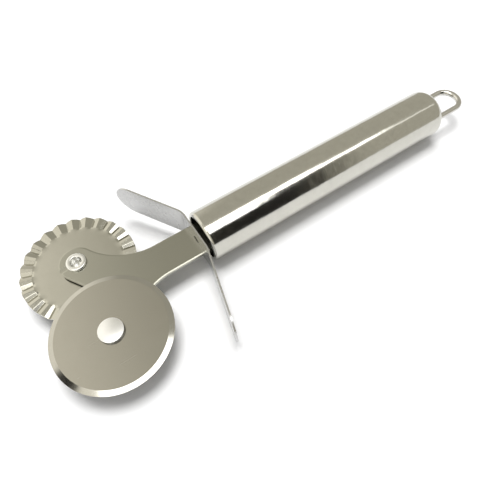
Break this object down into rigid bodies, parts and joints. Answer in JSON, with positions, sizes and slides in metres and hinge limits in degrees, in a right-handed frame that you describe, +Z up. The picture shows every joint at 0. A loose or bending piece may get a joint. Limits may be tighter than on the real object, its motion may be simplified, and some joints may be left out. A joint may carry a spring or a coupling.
{
  "type": "pastry cutter wheel",
  "caption": "Hand pastry cutter with a plain bevelled wheel and a fluted wheel on a forked plate, a bent finger guard and a hollow tube handle with a hanging loop.",
  "frame": {"origin": "under the middle of the lying tool's box, on the table", "axes": "+X along the handle's axis towards the wheels, +Y towards the plain wheel's side, +Z up from the table the tool lies on"},
  "size_m": [0.196, 0.0767, 0.02],
  "materials": {
    "handle_steel": "satin, brushed along the handle",
    "loop_wire": "drawn wire, smooth",
    "plug_plastic": "matt black",
    "plate_steel": "satin sheet",
    "guard_steel": "satin sheet",
    "wheel_steel": "satin, turned",
    "rivet_steel": "polished",
    "washer_steel": "satin"
  },
  "bodies": {
    "root": {"handle_tube": "handle_steel", "hanging_loop": "loop_wire", "tang_plug": "plug_plastic", "fork_plate": "plate_steel", "finger_guard": "guard_steel", "plain_wheel_rivet": "rivet_steel", "plain_wheel_washer": "washer_steel", "fluted_wheel_rivet": "rivet_steel", "fluted_wheel_washer": "washer_steel"},
    "plain_wheel": {"plain_wheel": "wheel_steel"},
    "fluted_wheel": {"fluted_wheel": "wheel_steel"}
  },
  "joints": [
    {"name": "plain_wheel_spin", "type": "hinge", "parent": "root", "child": "plain_wheel", "pos_m": [0.07702, 0.01398, 0.01064], "axis": [0, 0.0895, 0.996], "continuous": true},
    {"name": "fluted_wheel_spin", "type": "hinge", "parent": "root", "child": "fluted_wheel", "pos_m": [0.07702, -0.01746, 0.00936], "axis": [0, 0.0895, 0.996], "continuous": true}
  ]
}
